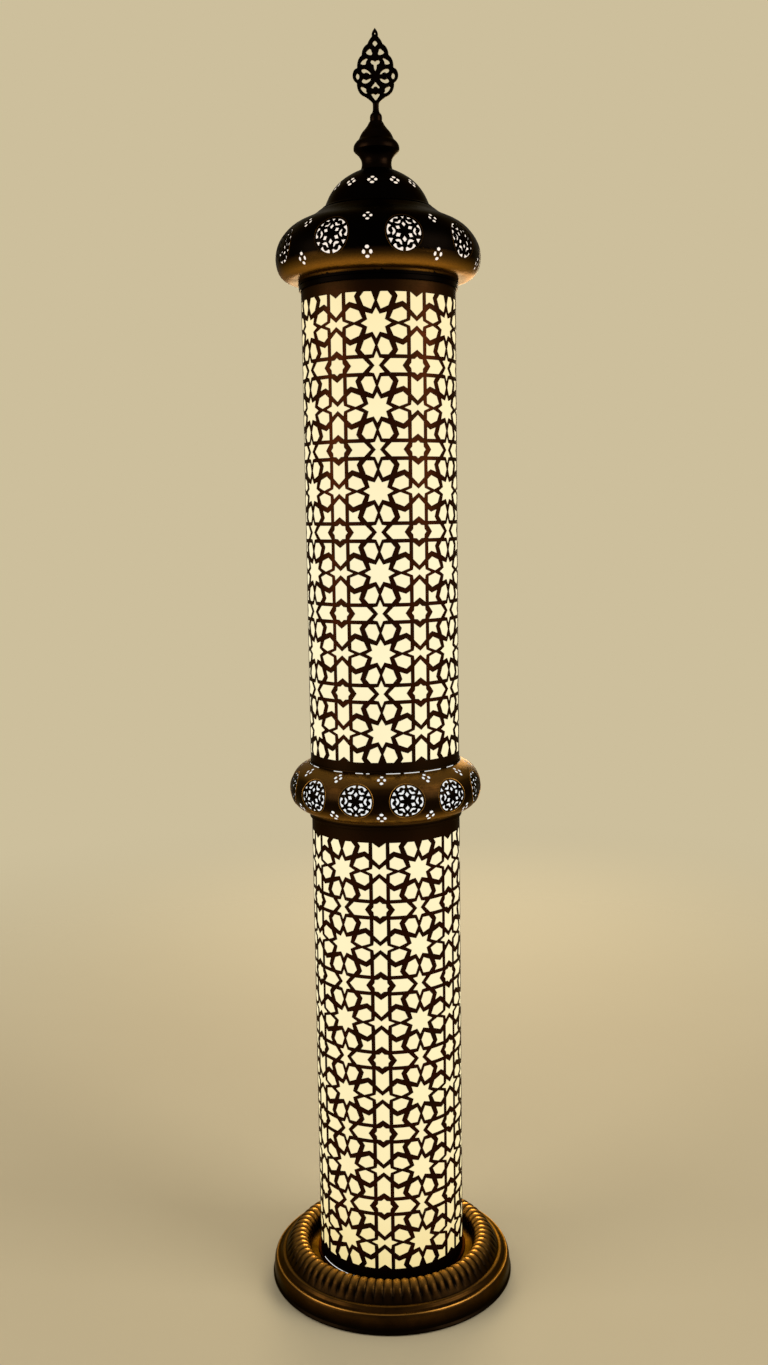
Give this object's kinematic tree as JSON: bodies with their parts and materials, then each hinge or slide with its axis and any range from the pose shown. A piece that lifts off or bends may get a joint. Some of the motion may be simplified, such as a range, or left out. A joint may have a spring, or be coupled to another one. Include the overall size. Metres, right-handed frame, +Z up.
{
  "type": "lantern floor lamp",
  "caption": "Lantern floor lamp: pierced metal tubes with opal liners stacked on a weighted, fluted base, with a pierced ring between them and an onion cap with a leaf finial.",
  "frame": {"origin": "on the floor, at the centre of the round base, on the column's axis", "axes": "+Z up along the column, -Y to the front, where the leaf finial shows its face, +X to the right seen from the front"},
  "size_m": [0.302, 0.302, 1.5004],
  "materials": {
    "antique_brass": "antiqued, waxed, satin",
    "oxidised_bronze": "oxidised dark, satin",
    "opal_liner": "opal, lit from within",
    "steel": "zinc plated",
    "iron": "raw casting",
    "rubber": "moulded",
    "black_plastic": "moulded",
    "bulb_opal": "opal, lit"
  },
  "bodies": {
    "root": {"foot_1": "rubber", "foot_2": "rubber", "foot_3": "rubber", "foot_4": "rubber", "bottom_plate": "steel", "ballast_weight": "iron", "plate_screw_1": "steel", "plate_screw_2": "steel", "plate_screw_3": "steel", "base_cover": "antique_brass", "gadroon_ring": "antique_brass", "lead_gland": "black_plastic", "gland_nut": "black_plastic", "column": "steel", "riser_flex": "black_plastic", "column_washer_bottom": "steel", "column_nut_bottom": "steel", "shade_seat": "oxidised_bronze", "seat_nut": "steel", "lower_shade": "oxidised_bronze", "lower_liner": "opal_liner", "upper_shade": "oxidised_bronze", "upper_liner": "opal_liner", "lower_spider": "oxidised_bronze", "upper_spider": "oxidised_bronze", "top_spider": "oxidised_bronze", "spacer_sleeve": "steel", "column_washer_top": "steel", "column_nut_top": "steel", "middle_ring": "antique_brass", "lower_arm": "steel", "lower_arm_screw": "steel", "lower_holder": "black_plastic", "upper_arm": "steel", "upper_arm_screw": "steel", "upper_holder": "black_plastic"},
    "cap": {"cap_bulge": "antique_brass", "cap_dome": "antique_brass", "cap_neck": "antique_brass", "neck_nut": "steel", "neck_collar": "antique_brass"},
    "finial": {"finial_stem": "antique_brass", "finial_leaf": "antique_brass"},
    "lower_bulb": {"lower_bulb_base": "steel", "lower_bulb_globe": "bulb_opal"},
    "upper_bulb": {"upper_bulb_base": "steel", "upper_bulb_globe": "bulb_opal"}
  },
  "joints": [
    {"name": "cap_lift", "type": "slide", "parent": "root", "child": "cap", "axis": [0, 0, 1], "range_m": [0, 0.04]},
    {"name": "finial_turn", "type": "hinge", "parent": "cap", "child": "finial", "pos_m": [0, 0, 1.4], "axis": [0, 0, 1], "range_deg": [-180, 180]},
    {"name": "lower_bulb_turn", "type": "hinge", "parent": "root", "child": "lower_bulb", "pos_m": [0.04, 0, 0.3], "axis": [0, 0, 1], "range_deg": [0, 900]},
    {"name": "upper_bulb_turn", "type": "hinge", "parent": "root", "child": "upper_bulb", "pos_m": [-0.04, 0, 0.9], "axis": [0, 0, 1], "range_deg": [0, 900]}
  ]
}
